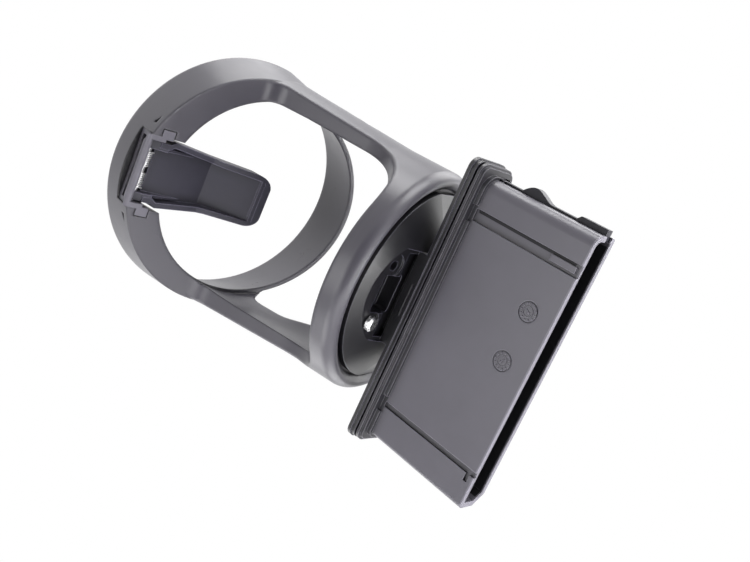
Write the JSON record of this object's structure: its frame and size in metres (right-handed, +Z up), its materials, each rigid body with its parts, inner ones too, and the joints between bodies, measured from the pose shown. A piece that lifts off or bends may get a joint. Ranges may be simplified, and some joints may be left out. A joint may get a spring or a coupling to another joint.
{
  "type": "car cup holder",
  "caption": "Plug-in car cup holder: open basket with a slanted ring, a sprung flap that steadies the cup, and a flat tilted plug with a side latch under the base.",
  "frame": {"origin": "centre of the floor on which the cup stands", "axes": "+Z up along the cup's axis, -X towards the flap at the front, +Y across, from the latch side to the plain side"},
  "size_m": [0.094, 0.1014, 0.1619],
  "materials": {
    "basket_grey": "satin moulded grey",
    "head_black": "polished black with a fine grain",
    "sleeve_grey": "fine moulded satin",
    "flap_black": "satin black",
    "steel": "bright drawn wire and a plated screw"
  },
  "bodies": {
    "holder": {"cup_basket": "basket_grey", "base_head": "head_black", "base_screws": "steel", "plug_sleeve": "sleeve_grey", "flap_bracket": "flap_black", "hinge_pin": "steel", "spring_left": "steel", "spring_right": "steel"},
    "flap": {"flap": "flap_black"},
    "latch": {"side_latch": "sleeve_grey"}
  },
  "joints": [
    {"name": "flap_hinge", "type": "hinge", "parent": "holder", "child": "flap", "pos_m": [-0.04339, 0, 0.08381], "axis": [0, 1, 0], "range_deg": [0, 60], "stiffness_Nm_per_rad": 0.03, "springref_deg": -22.92, "deforming": ["spring_left", "spring_right"]},
    {"name": "latch_press", "type": "hinge", "parent": "holder", "child": "latch", "pos_m": [-0.01407, -0.0455, -0.05651], "axis": [-0.9778, 0, 0.2096], "range_deg": [0, 6], "stiffness_Nm_per_rad": 0.05}
  ]
}
